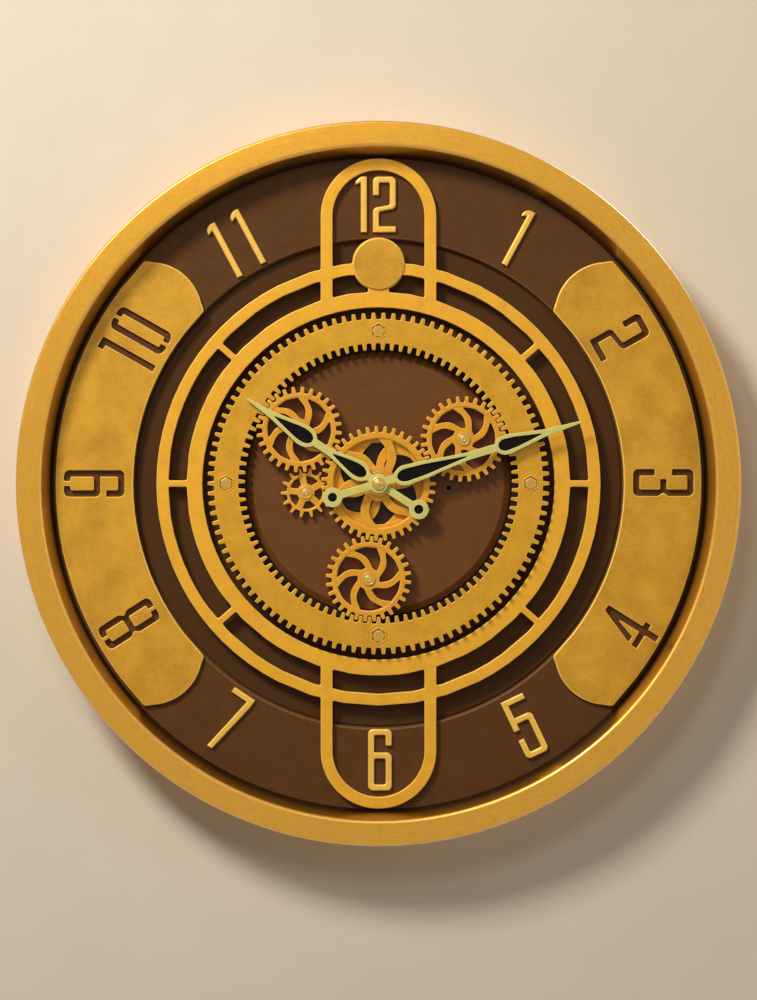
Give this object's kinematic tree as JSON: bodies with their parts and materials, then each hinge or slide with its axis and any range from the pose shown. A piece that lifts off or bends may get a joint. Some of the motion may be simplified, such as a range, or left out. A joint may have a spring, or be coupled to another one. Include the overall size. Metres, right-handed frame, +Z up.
{
  "type": "wall clock",
  "caption": "Round wall clock: deep ring case, raised and stencilled numerals, openwork hands and a turning gear train on show, driven by a motor behind the dial.",
  "frame": {"origin": "centre of the clock's bounding box: on the hands' axis, halfway through the rim's depth", "axes": "+Z up to the 12, the dial faces -Y, the wall is at +Y, +X is the side of the 3"},
  "size_m": [0.6, 0.055, 0.6],
  "materials": {
    "rim_gold": "gold anodised, brushed round the face",
    "frame_gold": "gold anodised, satin",
    "panel_gold": "gold anodised, satin",
    "numeral_gold": "gold anodised, satin",
    "ring_gold": "gold painted moulding, satin",
    "gear_gold": "gold painted moulding, satin",
    "dial_brown": "dark brown, fine satin",
    "drum_brown": "brown, glossy side wall",
    "hand_green": "pale green-gold paint, matt",
    "inlay_black": "matt black",
    "brass": "bright",
    "steel": "zinc plated",
    "black_plastic": "moulded",
    "grey_plastic": "moulded",
    "cell_wrap": "plain shrink wrap"
  },
  "bodies": {
    "case": {"outer_rim": "rim_gold", "dial_plate": "dial_brown", "gear_drum": "drum_brown", "dial_frame": "frame_gold", "badge_disc": "panel_gold", "left_panel": "panel_gold", "right_panel": "panel_gold", "numeral_12_ten": "numeral_gold", "numeral_12_unit": "numeral_gold", "numeral_1": "numeral_gold", "numeral_5": "numeral_gold", "numeral_6": "numeral_gold", "numeral_7": "numeral_gold", "numeral_11_ten": "numeral_gold", "numeral_11_unit": "numeral_gold", "rim_screw_1": "steel", "rim_screw_2": "steel", "rim_screw_3": "steel", "rim_screw_4": "steel", "planet_screw_right": "brass", "planet_screw_left": "brass", "planet_axle_right": "steel", "planet_axle_left": "steel", "idler_axle": "steel", "idler_screw": "brass", "sun_sleeve": "brass", "sun_retainer": "brass", "movement_case": "black_plastic", "bush_nut": "brass", "movement_cell": "cell_wrap", "motor_case": "black_plastic", "motor_cell_upper": "cell_wrap", "motor_cell_lower": "cell_wrap", "hanger_bracket": "steel", "hanger_screw_1": "steel", "hanger_screw_2": "steel"},
    "ring": {"ring_gear": "ring_gold", "ring_guide_hoop": "black_plastic", "ring_bolt_1": "brass", "ring_bolt_2": "brass", "ring_bolt_3": "brass", "ring_bolt_4": "brass"},
    "front_sun": {"front_sun_gear": "gear_gold"},
    "rear_sun": {"rear_sun_gear": "gear_gold"},
    "planet_right": {"planet_gear_right": "gear_gold"},
    "planet_left": {"planet_gear_left": "gear_gold"},
    "planet_bottom": {"planet_gear_bottom": "gear_gold", "planet_screw_bottom": "brass", "motor_shaft": "steel"},
    "idler": {"idler_gear": "gear_gold"},
    "hour": {"hour_hand": "hand_green", "hour_hand_backing": "inlay_black", "hour_tube": "steel"},
    "minute": {"minute_hand": "hand_green", "minute_hand_backing": "inlay_black", "minute_arbor": "steel", "cap_nut": "brass"},
    "knob": {"setting_knob": "grey_plastic"},
    "switch": {"power_switch": "grey_plastic"}
  },
  "joints": [
    {"name": "ring_spin", "type": "hinge", "parent": "case", "child": "ring", "pos_m": [0, 0, 0], "axis": [0, 1, 0], "continuous": true},
    {"name": "front_sun_spin", "type": "hinge", "parent": "case", "child": "front_sun", "pos_m": [0, 0, 0], "axis": [0, 1, 0], "continuous": true},
    {"name": "rear_sun_spin", "type": "hinge", "parent": "case", "child": "rear_sun", "pos_m": [0, 0, 0], "axis": [0, 1, 0], "continuous": true},
    {"name": "planet_right_spin", "type": "hinge", "parent": "case", "child": "planet_right", "pos_m": [0.07065, 0, 0.03694], "axis": [0, 1, 0], "continuous": true},
    {"name": "planet_left_spin", "type": "hinge", "parent": "case", "child": "planet_left", "pos_m": [-0.06596, 0, 0.0448], "axis": [0, 1, 0], "continuous": true},
    {"name": "planet_bottom_spin", "type": "hinge", "parent": "case", "child": "planet_bottom", "pos_m": [-0.0083, 0, -0.0793], "axis": [0, 1, 0], "continuous": true},
    {"name": "idler_spin", "type": "hinge", "parent": "case", "child": "idler", "pos_m": [-0.0605, 0, -0.0075], "axis": [0, 1, 0], "continuous": true},
    {"name": "minute_spin", "type": "hinge", "parent": "case", "child": "minute", "pos_m": [0, 0, 0], "axis": [0, 1, 0], "continuous": true},
    {"name": "hour_spin", "type": "hinge", "parent": "case", "child": "hour", "pos_m": [0, 0, 0], "axis": [0, 1, 0], "continuous": true},
    {"name": "knob_spin", "type": "hinge", "parent": "case", "child": "knob", "pos_m": [0, 0, 0.014], "axis": [0, 1, 0], "continuous": true},
    {"name": "switch_slide", "type": "slide", "parent": "case", "child": "switch", "axis": [1, 0, 0], "range_m": [0, 0.003]}
  ],
  "couplings": [
    {"joint": "front_sun_spin", "follows": "ring_spin", "ratio": -2.4359},
    {"joint": "rear_sun_spin", "follows": "ring_spin", "ratio": 2.8788},
    {"joint": "planet_right_spin", "follows": "ring_spin", "ratio": 3.3929},
    {"joint": "planet_left_spin", "follows": "ring_spin", "ratio": 3.3929},
    {"joint": "planet_bottom_spin", "follows": "ring_spin", "ratio": 3.3929},
    {"joint": "idler_spin", "follows": "ring_spin", "ratio": -6.7857},
    {"joint": "hour_spin", "follows": "minute_spin", "ratio": 0.083333},
    {"joint": "knob_spin", "follows": "minute_spin", "ratio": -0.33333}
  ]
}
